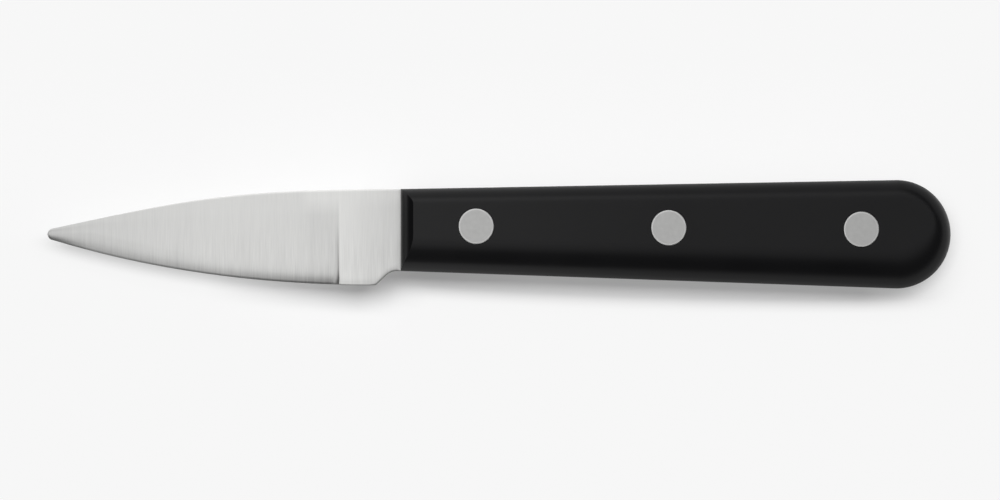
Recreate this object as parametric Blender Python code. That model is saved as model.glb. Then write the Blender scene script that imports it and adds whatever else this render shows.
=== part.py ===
"""Oyster knife with a full tang, two riveted handle scales and three two-part rivets.

The knife lies on its right side, as it would on a table. X runs along it, with the tip towards -X. Y runs
across it, with the spine towards +Y and the cutting edge towards -Y. Z points up through its thickness.
The origin is on the table, below the middle of the knife's length.

The knife's centre line is Y = 0, from the tip to the middle of the round butt. Heights of the blade and the
handle are given above and below that line, as seen from the side of the knife. Through the thickness, every
piece is modelled about the middle of the steel, and an empty carries them all at their height.

A real knife's steel, scales and rivets touch. Here a small named gap is left between them, so that each
piece is a clean solid of its own.
"""

import math

import bmesh
import bpy
import numpy as np

# Lengths along the knife, in metres
BLADE_LENGTH = 0.0600            # tip to the front of the handle
HANDLE_LENGTH = 0.0930           # front of the handle to the butt
RICASSO_LENGTH = 0.0105          # unground steel in front of the handle

# Thickness of the steel
STEEL_THICKNESS = 0.0025
TIP_THICKNESS = 0.0011
FACET_THICKNESS = 0.0015         # where the flat grind ends and the rounded edge facet begins
EDGE_THICKNESS = 0.0004          # an oyster knife's edge is left blunt

# Outline of the blade and its grind
TIP_RADIUS = 0.0010
SPINE_ANGLE_AT_TIP = math.radians(11.8)
EDGE_ANGLE_AT_TIP = math.radians(15.5)
EDGE_ANGLE_AT_HEEL = math.radians(0.7)
HEEL_DROP = 0.0024               # corner of the heel below the handle's lower edge
HEEL_ANGLE = math.radians(42.0)  # how steeply the heel runs back up to the handle
HEEL_FILLET_RADIUS = 0.0042
SPINE_FLAT = 0.0045              # height of the unground strip along the spine, at the ricasso
FACET_HEIGHT = 0.0022            # height of the rounded edge facet
PLUNGE_WIDTH = 0.0009            # hollow in which the grind runs out at the ricasso
PLUNGE_LEAN = math.radians(2.8)

# How far each end's direction carries into the curve of the spine and of the edge, as shares of its reach
SPINE_PULLS = (0.32, 0.543)
EDGE_PULLS = (0.11, 0.57)

# Outline of the handle, shared by the tang and both scales
FRONT_RISE = 0.00770             # handle above the centre line, at its front
FRONT_DROP = 0.00636             # handle below the centre line, at its front
BUTT_RADIUS = 0.0092

# Scales, with an elliptical rounding along the edge of their outer face
SCALE_THICKNESS = 0.00445
SPINE_ROUND_WIDTH = 0.0029       # seen from the side of the knife
SPINE_ROUND_DEPTH = 0.0022       # through the thickness of the scale
BUTT_ROUND_WIDTH = 0.0032
BUTT_ROUND_DEPTH = 0.0034
BELLY_ROUND_WIDTH = 0.0056       # the lower edge is rounded most, for the fingers
BELLY_ROUND_DEPTH = 0.0040
EDGE_LAND = 0.00045              # square edge that is always left beside the steel
FRONT_SLOPE_RUN = 0.0021         # rounded slope across the front of each scale, along the knife
FRONT_SLOPE_DEPTH = 0.0030
FRONT_SLOPE_TURN = math.radians(60.0)

# Rivets: a hollow half with its head on the left side, and a pin half with its head on the right
RIVET_NAMES = ("front", "middle", "rear")
FRONT_RIVET_SETBACK = 0.01266    # first rivet's centre behind the front of the handle
REAR_RIVET_SETBACK = 0.01516     # last rivet's centre in front of the butt
RIVET_RISE = 0.0008              # rivets above the middle of the handle's height
HEAD_DIAMETER = 0.0060
HEAD_THICKNESS = 0.0016
HEAD_BEVEL = 0.00015
SOCKET_DIAMETER = 0.0040
SOCKET_WALL = 0.0005
END_PLAY = 0.0008                # between the end of a shank or pin and what lies beyond it

# Gaps between pieces
FACE_GAP = 0.0003
HOLE_GAP = 0.0003

# Where a curve changes shape, and the most that a small one may take of what it is cut into
FACET_SHARE = 0.35               # of the blade's height, near the tip
FACET_BEND = (0.4, 0.62)         # middle of the edge facet: share of its height, share of its thickness
FILLET_SHARE = 0.9               # of the heel's drop
ROUND_TURNS = np.radians((-90.0, -45.0, 45.0, 90.0))  # belly, butt from here, to here, spine

# How finely curves are divided
TIP_STEPS = 4
BLADE_STEPS = 14
CURVE_STEPS = 60
PLUNGE_STEPS = 4
HEEL_STEPS = 5
BUTT_STEPS = 15
ROUND_STEPS = 6
SLOPE_STEPS = 6
CIRCLE_STEPS = 40
OVERCUT = 0.002                  # how far cutting shapes reach past what they cut
WELD_DISTANCE = 1e-7
SHARP_ANGLE = math.radians(25.0)

# Places worked out from the sizes above
TIP_X = -(BLADE_LENGTH + HANDLE_LENGTH) / 2
FRONT_X = TIP_X + BLADE_LENGTH
BUTT_X = FRONT_X + HANDLE_LENGTH
BUTT_CENTRE_X = BUTT_X - BUTT_RADIUS
PLUNGE_X = FRONT_X - RICASSO_LENGTH
SCALE_INNER_Z = STEEL_THICKNESS / 2 + FACE_GAP
SCALE_OUTER_Z = SCALE_INNER_Z + SCALE_THICKNESS
HEAD_UNDER_Z = SCALE_OUTER_Z - HEAD_THICKNESS
SHANK_HOLE_RADIUS = SOCKET_DIAMETER / 2 + HOLE_GAP
HEAD_HOLE_RADIUS = HEAD_DIAMETER / 2 + HOLE_GAP
BORE_RADIUS = SOCKET_DIAMETER / 2 - SOCKET_WALL


def clear_scene():
    for item in list(bpy.data.objects):
        bpy.data.objects.remove(item)


# Outlines, seen from the side of the knife

def curve_between(start, start_angle, end, end_angle, pulls):
    """A cubic curve that leaves start and arrives at end at the given angles to the knife's length."""
    start, end = np.array(start), np.array(end)
    reach = end[0] - start[0]
    leave = start + pulls[0] * reach * np.array((math.cos(start_angle), math.sin(start_angle)))
    arrive = end - pulls[1] * reach * np.array((math.cos(end_angle), math.sin(end_angle)))
    t = np.linspace(0.0, 1.0, CURVE_STEPS + 1)[:, None]
    return (1 - t) ** 3 * start + 3 * (1 - t) ** 2 * t * leave + 3 * (1 - t) * t**2 * arrive + t**3 * end


def tip_arc(side_angle):
    """The rounded tip from its foremost point to where the spine or the edge leaves it."""
    turns = np.linspace(0.0, math.pi / 2 - side_angle, TIP_STEPS + 1)
    return [(TIP_X + TIP_RADIUS * (1 - math.cos(turn)), TIP_RADIUS * math.sin(turn)) for turn in turns]


def tangent_turn(front_height):
    """How far round the butt from +X a straight edge that starts at this front height touches it."""
    length = BUTT_CENTRE_X - FRONT_X
    to_centre = math.hypot(length, front_height)
    return math.pi - math.acos(BUTT_RADIUS / to_centre) - math.atan2(front_height, length)


def butt_turns(front_height):
    """Turns round the butt, from where the straight edge touches it to its far end."""
    steps = range(BUTT_STEPS - 1, -1, -1)
    return [tangent_turn(front_height)] + [math.pi / 2 * step / BUTT_STEPS for step in steps]


def butt_point(turn):
    return BUTT_CENTRE_X + BUTT_RADIUS * math.cos(turn), BUTT_RADIUS * math.sin(turn)


def upper_outline():
    """Along the spine and the top of the handle, as (place along the knife, height above the centre line)."""
    tip = tip_arc(SPINE_ANGLE_AT_TIP)
    spine = curve_between(tip[-1], SPINE_ANGLE_AT_TIP, (FRONT_X, FRONT_RISE), 0.0, SPINE_PULLS)
    return np.array(tip[:-1] + list(spine) + [butt_point(turn) for turn in butt_turns(FRONT_RISE)])


def heel_outline():
    """From the corner of the heel up its slope and through its fillet, as depths below the centre line."""
    fillet_limit = FILLET_SHARE * HEEL_DROP / (1 - math.cos(HEEL_ANGLE))
    radius = min(HEEL_FILLET_RADIUS, fillet_limit)
    turns = np.linspace(HEEL_ANGLE, 0.0, HEEL_STEPS + 1)
    fillet = [(FRONT_X - radius * math.sin(turn), FRONT_DROP + radius * (1 - math.cos(turn)))
              for turn in turns]
    corner_depth = FRONT_DROP + HEEL_DROP
    slope_run = (corner_depth - fillet[0][1]) / math.tan(HEEL_ANGLE)
    return [(fillet[0][0] - slope_run, corner_depth)] + fillet


def lower_outline():
    """Along the edge, the heel and the bottom of the handle, as depths below the centre line."""
    tip = tip_arc(EDGE_ANGLE_AT_TIP)
    heel = heel_outline()
    edge = curve_between(tip[-1], EDGE_ANGLE_AT_TIP, heel[0], EDGE_ANGLE_AT_HEEL, EDGE_PULLS)
    return np.array(tip[:-1] + list(edge) + heel[1:] + [butt_point(turn) for turn in butt_turns(FRONT_DROP)])


UPPER_OUTLINE = upper_outline()
LOWER_OUTLINE = lower_outline()


def top_at(x):
    return float(np.interp(x, UPPER_OUTLINE[:, 0], UPPER_OUTLINE[:, 1]))


def bottom_at(x):
    return -float(np.interp(x, LOWER_OUTLINE[:, 0], LOWER_OUTLINE[:, 1]))


def rivet_places():
    """Centres of the rivets from front to rear, in a row a little above the middle of the handle."""
    first = FRONT_X + FRONT_RIVET_SETBACK
    last = BUTT_X - REAR_RIVET_SETBACK
    return [(float(x), (top_at(x) + bottom_at(x)) / 2 + RIVET_RISE)
            for x in np.linspace(first, last, len(RIVET_NAMES))]


# Making solids

def material(name, colour, roughness, metallic):
    made = bpy.data.materials.new(name)
    made.use_nodes = True
    shader = made.node_tree.nodes["Principled BSDF"]
    shader.inputs["Base Color"].default_value = (*colour, 1.0)
    shader.inputs["Roughness"].default_value = roughness
    shader.inputs["Metallic"].default_value = metallic
    return made


def finished(builder, name):
    """Turns a bmesh into an object whose faces point outward."""
    bmesh.ops.remove_doubles(builder, verts=builder.verts, dist=WELD_DISTANCE)
    bmesh.ops.recalc_face_normals(builder, faces=builder.faces)
    mesh = bpy.data.meshes.new(name)
    builder.to_mesh(mesh)
    builder.free()
    piece = bpy.data.objects.new(name, mesh)
    bpy.context.collection.objects.link(piece)
    return piece


def lofted(rings, name):
    """A solid through rings of as many points each, with a face across the first ring and the last."""
    builder = bmesh.new()
    loops = [[builder.verts.new(point) for point in ring] for ring in rings]
    for near, far in zip(loops, loops[1:]):
        for index, vertex in enumerate(near):
            after = (index + 1) % len(near)
            builder.faces.new((vertex, near[after], far[after], far[index]))
    builder.faces.new(reversed(loops[0]))
    builder.faces.new(loops[-1])
    return finished(builder, name)


def turned(profile, name):
    """A solid turned about Z from (radius, height) points that start and end on the axis."""
    builder = bmesh.new()
    line = [builder.verts.new((radius, 0.0, height)) for radius, height in profile]
    edges = [builder.edges.new(pair) for pair in zip(line, line[1:])]
    bmesh.ops.spin(builder, geom=line + edges, cent=(0, 0, 0), axis=(0, 0, 1), angle=math.tau,
                   steps=CIRCLE_STEPS, use_merge=True)
    return finished(builder, name)


def cut(piece, cutter):
    """Cuts one solid out of another and removes the cutting solid."""
    modifier = piece.modifiers.new("cut", "BOOLEAN")
    modifier.operation = "DIFFERENCE"
    modifier.solver = "EXACT"
    modifier.object = cutter
    bpy.context.view_layer.update()
    with bpy.context.temp_override(object=piece, active_object=piece):
        bpy.ops.object.modifier_apply(modifier=modifier.name)
    bpy.data.objects.remove(cutter)


def drill(piece, profile):
    """Cuts the same turned hole at the place of each rivet."""
    for x, y in rivet_places():
        drill_bit = turned(profile, "drill_bit")
        drill_bit.location = (x, y, 0.0)
        cut(piece, drill_bit)


def dressed(piece, look):
    """Gives a finished piece its material, and smooth shading that keeps its corners sharp."""
    piece.data.materials.clear()
    piece.data.materials.append(look)
    piece.data.shade_smooth()
    piece.data.set_sharp_from_angle(angle=SHARP_ANGLE)
    return piece


# Blade with its tang

def steel_stations():
    """Places along the knife where the steel's section is set: place, share of the grind, lean of the section."""
    tip_turns = np.linspace(0.0, math.pi / 2, TIP_STEPS + 1)
    found = [(TIP_X + TIP_RADIUS * (1 - math.cos(turn)), 1.0, 0.0) for turn in tip_turns[:-1]]
    plunge_start = PLUNGE_X - PLUNGE_WIDTH
    found += [(x, 1.0, 0.0) for x in np.linspace(TIP_X + TIP_RADIUS, plunge_start, BLADE_STEPS + 1)[:-1]]
    plunge_turns = np.linspace(0.0, math.pi / 2, PLUNGE_STEPS + 1)
    found += [(plunge_start + PLUNGE_WIDTH * math.sin(turn), math.cos(turn), PLUNGE_LEAN)
              for turn in plunge_turns]
    found += [(x, 0.0, 0.0) for x, _ in heel_outline()]
    found += [(butt_point(tangent_turn(height))[0], 0.0, 0.0) for height in (FRONT_RISE, FRONT_DROP)]
    found += [(butt_point(turn)[0], 0.0, 0.0) for turn in butt_turns(FRONT_RISE)[1:]]
    return sorted(found)


def half_thickness(x):
    """Half the unground steel: full behind the plunge, thinner towards the tip, and rounded off round it."""
    before_tip_centre = max(0.0, TIP_X + TIP_RADIUS - x) / TIP_RADIUS
    rounding = math.sqrt(max(0.0, 1 - before_tip_centre**2))
    taper = np.interp(x, (TIP_X + TIP_RADIUS, PLUNGE_X), (TIP_THICKNESS, STEEL_THICKNESS))
    return float(taper) / 2 * rounding


def steel_section(x, grind, lean):
    """The steel's section at one station: its left face from spine to edge, then its right face back."""
    top, bottom = top_at(x), bottom_at(x)
    full = half_thickness(x)
    facet = full * (1 - grind * (1 - FACET_THICKNESS / STEEL_THICKNESS))
    edge = full + grind * (min(full, EDGE_THICKNESS / 2) - full)
    facet_height = min(FACET_HEIGHT, FACET_SHARE * (top - bottom))
    spine_flat = SPINE_FLAT * (top - bottom) / (top_at(PLUNGE_X) - bottom_at(PLUNGE_X))
    half = (
        (top, full),
        (top - spine_flat, full),
        (bottom + facet_height, facet),
        (bottom + FACET_BEND[0] * facet_height, edge + FACET_BEND[1] * (facet - edge)),
        (bottom, edge),
    )
    left = [(x - math.tan(lean) * (y - bottom), y, z) for y, z in half]
    return left + [(along, y, -z) for along, y, z in reversed(left)]


def blade_with_tang():
    """Blade, ricasso, heel and tang in one piece of steel, drilled for the rivets."""
    piece = lofted([steel_section(*station) for station in steel_stations()], "blade_with_tang")
    reach = STEEL_THICKNESS / 2 + OVERCUT
    drill(piece, ((0.0, reach), (SHANK_HOLE_RADIUS, reach), (SHANK_HOLE_RADIUS, -reach), (0.0, -reach)))
    return piece


# Handle scales

def scale_edge():
    """The scale's edge from its upper front corner round the butt to its lower one, as (x, y, outward turn).

    Its ends lie in front of the handle, where the front slope cuts them off.
    """
    upper = butt_turns(FRONT_RISE)
    lower = butt_turns(FRONT_DROP)
    start = FRONT_X - OVERCUT
    upper_start = FRONT_RISE - OVERCUT * math.tan(upper[0] - math.pi / 2)
    lower_start = FRONT_DROP - OVERCUT * math.tan(lower[0] - math.pi / 2)
    turns = upper + [-turn for turn in lower[-2::-1]]
    arc = [(*butt_point(turn), turn) for turn in turns]
    return [(start, upper_start, upper[0])] + arc + [(start, -lower_start, -lower[0])]


def rounding_at(turn):
    """Width and depth of the rounding where the edge faces this way: spine, butt or belly, or between them."""
    widths = (BELLY_ROUND_WIDTH, BUTT_ROUND_WIDTH, BUTT_ROUND_WIDTH, SPINE_ROUND_WIDTH)
    depths = (BELLY_ROUND_DEPTH, BUTT_ROUND_DEPTH, BUTT_ROUND_DEPTH, SPINE_ROUND_DEPTH)
    depth = min(float(np.interp(turn, ROUND_TURNS, depths)), SCALE_THICKNESS - EDGE_LAND)
    return float(np.interp(turn, ROUND_TURNS, widths)), depth


def scale_rings(side):
    """Rings of the scale from its face beside the steel out to the flat of its outer face."""
    edge = scale_edge()
    rings = [[(x, y, side * SCALE_INNER_Z) for x, y, _ in edge]]
    for rise in np.linspace(0.0, math.pi / 2, ROUND_STEPS + 1):
        ring = []
        for x, y, turn in edge:
            width, depth = rounding_at(turn)
            inward = width * (1 - math.cos(rise))
            height = SCALE_OUTER_Z - depth * (1 - math.sin(rise))
            ring.append((x - inward * math.cos(turn), y - inward * math.sin(turn), side * height))
        rings.append(ring)
    return rings


def front_cutter(side):
    """What is cut away in front of the scale: its back is the rounded front slope."""
    depth = min(FRONT_SLOPE_DEPTH, SCALE_THICKNESS - EDGE_LAND)
    lean = math.atan2(depth, FRONT_SLOPE_RUN)
    radius = math.hypot(depth, FRONT_SLOPE_RUN) / (2 * math.sin(FRONT_SLOPE_TURN / 2))
    steep, shallow = lean + FRONT_SLOPE_TURN / 2, lean - FRONT_SLOPE_TURN / 2
    foot_z = SCALE_OUTER_Z - depth
    slope = [(FRONT_X + radius * (math.sin(steep) - math.sin(turn)),
              foot_z + radius * (math.cos(turn) - math.cos(steep)))
             for turn in np.linspace(steep, shallow, SLOPE_STEPS + 1)]
    above = (slope[-1][0] + OVERCUT * math.cos(shallow), slope[-1][1] + OVERCUT * math.sin(shallow))
    below_z = SCALE_INNER_Z - OVERCUT
    ahead_x = FRONT_X - 2 * OVERCUT
    profile = [(ahead_x, below_z), (FRONT_X, below_z)] + slope + [above, (ahead_x, above[1])]
    half_width = BUTT_RADIUS + OVERCUT
    return lofted([[(x, y, side * z) for x, z in profile] for y in (-half_width, half_width)], "front_cutter")


def scale(name, side):
    """One handle scale, on the left of the steel (side 1) or on its right (side -1)."""
    piece = lofted(scale_rings(side), name)
    cut(piece, front_cutter(side))
    seat_z = HEAD_UNDER_Z - FACE_GAP
    outer, inner = SCALE_OUTER_Z + OVERCUT, SCALE_INNER_Z - OVERCUT
    profile = ((0.0, outer), (HEAD_HOLE_RADIUS, outer), (HEAD_HOLE_RADIUS, seat_z),
               (SHANK_HOLE_RADIUS, seat_z), (SHANK_HOLE_RADIUS, inner), (0.0, inner))
    drill(piece, [(radius, side * z) for radius, z in profile])
    return piece


# Rivets

def head_profile():
    """The flush head shared by both halves, from the middle of its face to the corner under it."""
    radius = HEAD_DIAMETER / 2
    return [(0.0, SCALE_OUTER_Z), (radius - HEAD_BEVEL, SCALE_OUTER_Z),
            (radius, SCALE_OUTER_Z - HEAD_BEVEL), (radius, HEAD_UNDER_Z)]


def rivet_socket(name):
    """Hollow half: its shank runs through the knife and stops short of the pin half's head."""
    shank_end = END_PLAY - HEAD_UNDER_Z
    shank = [(SOCKET_DIAMETER / 2, HEAD_UNDER_Z), (SOCKET_DIAMETER / 2, shank_end),
             (BORE_RADIUS, shank_end), (BORE_RADIUS, HEAD_UNDER_Z), (0.0, HEAD_UNDER_Z)]
    return turned(head_profile() + shank, name)


def rivet_pin(name):
    """Pin half: the pin fills the socket and stops short of the end of its bore."""
    pin_radius = BORE_RADIUS - HOLE_GAP
    pin_end = END_PLAY - HEAD_UNDER_Z
    return turned(head_profile() + [(pin_radius, HEAD_UNDER_Z), (pin_radius, pin_end), (0.0, pin_end)], name)


def main():
    clear_scene()
    steel_look = material("ground_stainless_steel", (0.60, 0.60, 0.59), 0.32, 1.0)
    handle_look = material("black_acetal", (0.018, 0.018, 0.019), 0.42, 0.0)
    rivet_look = material("polished_stainless_steel", (0.50, 0.50, 0.49), 0.30, 1.0)
    knife = bpy.data.objects.new("knife", None)
    knife.location.z = SCALE_OUTER_Z
    bpy.context.collection.objects.link(knife)
    pieces = [
        dressed(blade_with_tang(), steel_look),
        dressed(scale("left_scale", 1), handle_look),
        dressed(scale("right_scale", -1), handle_look),
    ]
    for place, (x, y) in zip(RIVET_NAMES, rivet_places()):
        socket = dressed(rivet_socket(f"{place}_rivet_socket"), rivet_look)
        socket.location = (x, y, 0.0)
        pin = dressed(rivet_pin(f"{place}_rivet_pin"), rivet_look)
        pin.location = (x, y, 0.0)
        pin.rotation_euler.x = math.pi
        pieces += [socket, pin]
    for piece in pieces:
        piece.parent = knife


main()
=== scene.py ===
# %% [markdown]
# # An oyster knife, dressed around its CAD frame
#
# The knife is a short pointed blade of stainless steel, two black acetal scales and three flush rivets. The
# CAD parts say where everything is. This lesson models finer pieces in the same places, gives each one the
# finish of the real thing, and lights them as on a photographer's table. Lengths are in metres, X runs from
# the tip towards the butt, Y from the cutting edge towards the spine, and Z up.

# %% Load the frame
import math

import bmesh
import bpy
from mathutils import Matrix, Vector
from mathutils.geometry import interpolate_bezier


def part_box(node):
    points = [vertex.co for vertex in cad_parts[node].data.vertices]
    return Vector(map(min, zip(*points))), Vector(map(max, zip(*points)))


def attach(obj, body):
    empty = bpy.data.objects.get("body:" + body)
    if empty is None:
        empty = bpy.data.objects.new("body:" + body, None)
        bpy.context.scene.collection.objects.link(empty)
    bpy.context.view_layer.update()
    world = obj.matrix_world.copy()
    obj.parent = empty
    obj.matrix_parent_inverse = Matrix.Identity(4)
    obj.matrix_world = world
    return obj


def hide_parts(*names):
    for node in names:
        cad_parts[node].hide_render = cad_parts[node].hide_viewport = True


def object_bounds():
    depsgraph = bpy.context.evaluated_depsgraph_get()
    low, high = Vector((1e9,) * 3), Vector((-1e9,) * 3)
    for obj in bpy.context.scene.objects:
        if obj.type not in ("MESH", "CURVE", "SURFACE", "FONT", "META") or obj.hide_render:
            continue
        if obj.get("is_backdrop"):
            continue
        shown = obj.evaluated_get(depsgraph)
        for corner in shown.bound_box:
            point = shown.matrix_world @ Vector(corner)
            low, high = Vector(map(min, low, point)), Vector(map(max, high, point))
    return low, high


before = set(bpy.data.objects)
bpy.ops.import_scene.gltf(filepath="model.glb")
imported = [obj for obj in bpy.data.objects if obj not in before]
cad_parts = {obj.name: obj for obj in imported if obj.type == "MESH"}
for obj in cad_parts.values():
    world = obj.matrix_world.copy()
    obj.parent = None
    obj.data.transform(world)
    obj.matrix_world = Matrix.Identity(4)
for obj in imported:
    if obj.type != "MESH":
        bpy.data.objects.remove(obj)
cad_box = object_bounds()
print("CAD nodes:", ", ".join(sorted(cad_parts)))

# %% [markdown]
# ## Sizes
#
# They could be typed where they are used, but a knife is a few numbers that hang together: the length of the
# blade, where the grind stops, how high the handle is. So they are named once, in metres, and measured off
# the CAD nodes where these hold them. The knife is modelled about the middle of its steel and lifted to its
# height on the table at the end.

# %% Sizes
MM = 0.001
blade_low, blade_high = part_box("blade_with_tang")
scale_low, scale_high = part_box("left_scale")
TIP_X = blade_low.x
FRONT_X = scale_low.x
BUTT_X = scale_high.x
MIDDLE_Z = (blade_low.z + blade_high.z) / 2
HALF_STEEL = (blade_high.z - blade_low.z) / 2
OUTER_Z = scale_high.z - MIDDLE_Z     # outer face of the left scale above the middle of the steel
BUTT_RADIUS = 9.19 * MM
BUTT_CENTRE_X = BUTT_X - BUTT_RADIUS
FRONT_RISE = 7.67 * MM                # top of the handle above the centre line, at its front
FRONT_DROP = 6.22 * MM                # and its underside below that line
RICASSO_LENGTH = 10.45 * MM           # the unground stretch in front of the handle
PLUNGE_X = FRONT_X - RICASSO_LENGTH   # where the grind stops
print(f"blade {1000 * (FRONT_X - TIP_X):.1f} mm, handle {1000 * (BUTT_X - FRONT_X):.1f} mm")


# %% [markdown]
# ## Working in edit mode
#
# By hand you click on vertices and press a key. In a script the click is a test on each vertex's place, so
# one helper selects by such a test, and the operators then act on what is selected. Everything is deselected
# first, because loading the frame leaves its nodes selected.

# %% Helpers for modelling
NEAR = 0.01 * MM   # places no further apart than this count as one in such a test


def start_piece(name):
    """Names the primitive that was just added, puts its place into its mesh and starts editing it."""
    piece = bpy.context.object
    piece.name = name
    piece.data.name = name
    bpy.ops.object.transform_apply(location=True, rotation=True, scale=True)
    bpy.ops.object.mode_set(mode="EDIT")
    bpy.ops.mesh.select_mode(type="VERT")
    return piece


def pick(test, kind="verts"):
    """Selects the vertices, edges or faces of the mesh in edit mode that pass a test, and only those."""
    mesh = bpy.context.edit_object.data
    shape = bmesh.from_edit_mesh(mesh)
    bpy.ops.mesh.select_mode(type={"verts": "VERT", "edges": "EDGE", "faces": "FACE"}[kind])
    for item in (*shape.verts, *shape.edges, *shape.faces):
        item.select = False
    for item in getattr(shape, kind):
        if test(item):
            item.select_set(True)
    shape.select_flush_mode()
    bmesh.update_edit_mesh(mesh, loop_triangles=False, destructive=False)


def make_active(piece):
    """Selects this object alone, for the operators that work on the active one."""
    bpy.ops.object.select_all(action="DESELECT")
    piece.select_set(True)
    bpy.context.view_layer.objects.active = piece


def apply_modifier(piece, kind, **settings):
    """Adds a modifier with its settings and applies it."""
    make_active(piece)
    modifier = piece.modifiers.new(kind.lower(), kind)
    for setting, value in settings.items():
        setattr(modifier, setting, value)
    bpy.ops.object.modifier_apply(modifier=modifier.name)


def copy_of(piece, name):
    """A copy with a mesh of its own."""
    made = piece.copy()
    made.data = piece.data.copy()
    made.name = name
    made.data.name = name
    bpy.context.collection.objects.link(made)
    return made


def move_mesh(piece, offset, mirror_z=False):
    """Moves a finished piece's mesh, mirrored through its thickness if asked, and leaves its origin."""
    make_active(piece)
    bpy.ops.object.mode_set(mode="EDIT")
    bpy.ops.mesh.select_all(action="SELECT")
    if mirror_z:
        bpy.ops.transform.mirror(constraint_axis=(False, False, True), center_override=(0, 0, 0))
        bpy.ops.mesh.normals_make_consistent(inside=False)
    bpy.ops.transform.translate(value=offset)
    bpy.ops.object.mode_set(mode="OBJECT")


def smooth(piece, sharp_above):
    """Smooth shading that keeps the corners above this many degrees sharp, and flat faces truly flat."""
    make_active(piece)
    bpy.ops.object.shade_smooth_by_angle(angle=math.radians(sharp_above))
    apply_modifier(piece, "WEIGHTED_NORMAL", keep_sharp=True, weight=80)


# %% [markdown]
# ## Materials: how they are put together
#
# Colours are written as the hex values that a colour picker shows, and turned to the linear values that the
# renderer works in by one function. Nodes are added by one more function that takes a node's settings and
# its links. Every pattern is laid in the object's own coordinates, so that it stays on the steel when the
# camera moves, and its scale comes from a size in millimetres.

# %% Helpers for materials
def colour(code):
    """Linear colour of an sRGB hex value such as 808080."""
    parts = [int(code[at:at + 2], 16) / 255 for at in (0, 2, 4)]
    linear = [part / 12.92 if part <= 0.04045 else ((part + 0.055) / 1.055) ** 2.4 for part in parts]
    return (*linear, 1.0)


def add_node(tree, kind, settings=None, links=None):
    """Adds a node, sets its values and plugs other nodes' outputs into its inputs."""
    node = tree.nodes.new(kind)
    for key, value in (settings or {}).items():
        if isinstance(key, str) and hasattr(node, key):
            setattr(node, key, value)
        else:
            node.inputs[key].default_value = value
    for key, output in (links or {}).items():
        tree.links.new(output, node.inputs[key])
    return node


def start_material(name):
    """An empty material with its output, and the node that gives places on the object."""
    made = bpy.data.materials.new(name)
    made.use_nodes = True
    made.node_tree.nodes.clear()
    place = add_node(made.node_tree, "ShaderNodeTexCoord")
    return made, made.node_tree, place.outputs["Object"]


def finish_material(tree, settings, links):
    """Adds the surface shader and plugs it into the output."""
    shader = add_node(tree, "ShaderNodeBsdfPrincipled", settings, links)
    add_node(tree, "ShaderNodeOutputMaterial", links={"Surface": shader.outputs["BSDF"]})


def lines_noise(tree, place, size, detail, seed):
    """Noise drawn out into lines along Y, of this width and length. They run deep into the steel."""
    across, along = size
    stretched = add_node(
        tree, "ShaderNodeMapping",
        {"Location": (seed, 0, 0), "Scale": (1 / across, 1 / along, 0.2 / across)},
        {"Vector": place},
    )
    noise = add_node(
        tree, "ShaderNodeTexNoise", {"Scale": 1.0, "Detail": detail, "Roughness": 0.55},
        {"Vector": stretched.outputs["Vector"]},
    )
    return noise.outputs["Fac"]


# %% [markdown]
# ## Ground stainless steel
#
# The blade is hardened stainless steel, ground crosswise on a belt. The belt leaves fine lines from spine to
# edge, a little different in depth and brightness from one to the next, and the polishing wheel that follows
# leaves them softer towards the spine. The eye gets a pale satin grey with faint upright streaks. A wave
# texture would give lines at an even spacing, which no belt does, so noise is drawn out along Y instead: one
# layer for single scratches and one for the bands in which they bunch. Real scratches are nearer 0.02 mm
# wide, too fine to show at this size, so they are drawn coarser.
#
# The steel's tone also changes slowly from place to place. The ricasso is brightest by the plunge and darker
# by the handle, though less so near the spine; that darkening is painted shade of the black handle beside it.
# The ground face is a little darker towards the tip, and also beside the plunge, where only the part near the
# spine is brighter. At the foot of the plunge the belt's corner leaves a narrow band of coarser, greyer
# steel. All these tones are added to the streaks, and the sum picks a grey between the darkest and the
# brightest.

# %% Values of the ground steel
SCRATCHES = (0.20 * MM, 5 * MM)        # width and length of the fine lines
BUNCHES = (1.1 * MM, 18 * MM)          # and of the bands in which they bunch
BUNCH_STRENGTH = 0.40                  # beside a strength of 1 for the fine lines
MEAN_NOISE = 0.70                      # what both together come to on average
SOFT_STREAKS = 0.17                    # strength of the streaks towards the spine
CRISP_STREAKS = 0.57                   # and at the edge
STREAKS_Y = (3 * MM, -8.5 * MM)        # they grow crisper from here to here
TONE_REACH = 0.25                      # tones from this far below 0 to this far above it are told apart
RICASSO_FRONT_TONE = 0.14              # by the plunge
RICASSO_HANDLE_SHADE = (-0.19, -0.09)    # painted shade by the handle: lower down, and near the spine
RICASSO_SPINE_Y = (4.5 * MM, 6.5 * MM)
GROUND_REAR_TONES = (-0.08, 0.10)      # on the ground face beside the plunge: the same two
GROUND_SPINE_Y = (3.2 * MM, 6.0 * MM)
GROUND_REAR_X = (PLUNGE_X - 6.8 * MM, PLUNGE_X - 4.6 * MM)
TIP_TONE = -0.08
TIP_TONE_X = (-48 * MM, -66 * MM)      # the tip's tone comes in from here to here
COARSE_SHARE = 0.32                    # how far the coarse band turns to its darker grey
COARSE_X = (PLUNGE_X - 0.95 * MM, PLUNGE_X - 0.55 * MM)
COARSE_Y = (2.1 * MM, -1.8 * MM)
DARKEST, BRIGHTEST, COARSE = colour("C6C6C5"), colour("E3E3E1"), colour("A2A2A1")


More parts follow.
